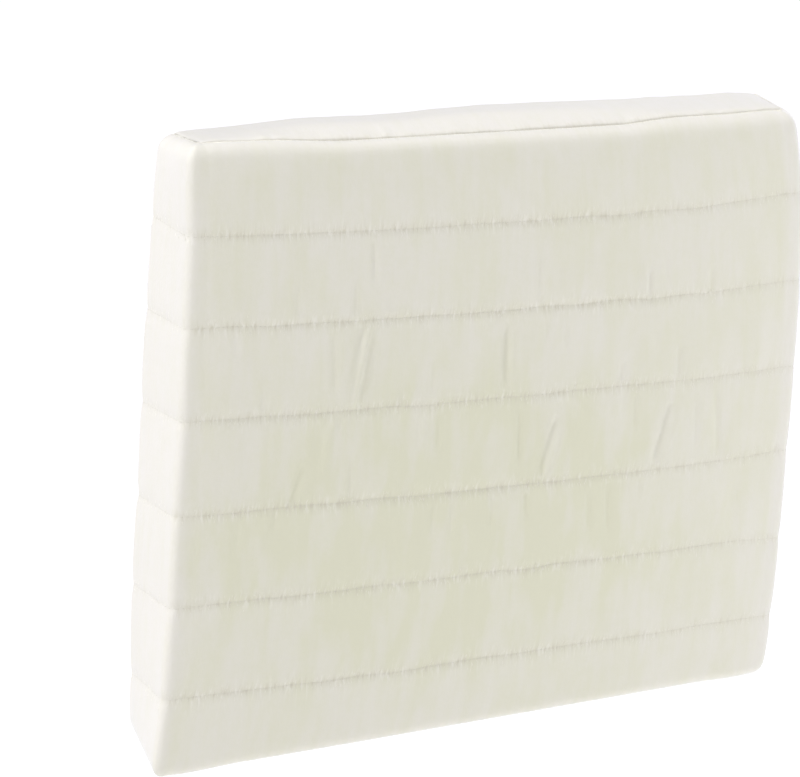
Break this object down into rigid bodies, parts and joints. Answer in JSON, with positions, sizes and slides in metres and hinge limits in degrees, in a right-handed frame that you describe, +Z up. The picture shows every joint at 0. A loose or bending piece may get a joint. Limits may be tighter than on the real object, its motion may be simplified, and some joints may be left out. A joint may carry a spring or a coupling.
{
  "type": "quilted air conditioner cover",
  "caption": "Shallow box of padded, quilted plush cloth, open at the back, that pulls over the front of a window air conditioner to keep out draughts and dust.",
  "frame": {"origin": "under the middle of the top wall, where the cover hangs on what it is fitted over", "axes": "+X to the right across the front, +Y to the open back, +Z up"},
  "size_m": [0.5758, 0.0767, 0.5083],
  "materials": {
    "plush": "ivory short-pile plush, quilted over wadding"
  },
  "bodies": {
    "root": {"front_and_sides": "plush", "top_wall": "plush", "bottom_wall": "plush"}
  },
  "joints": []
}
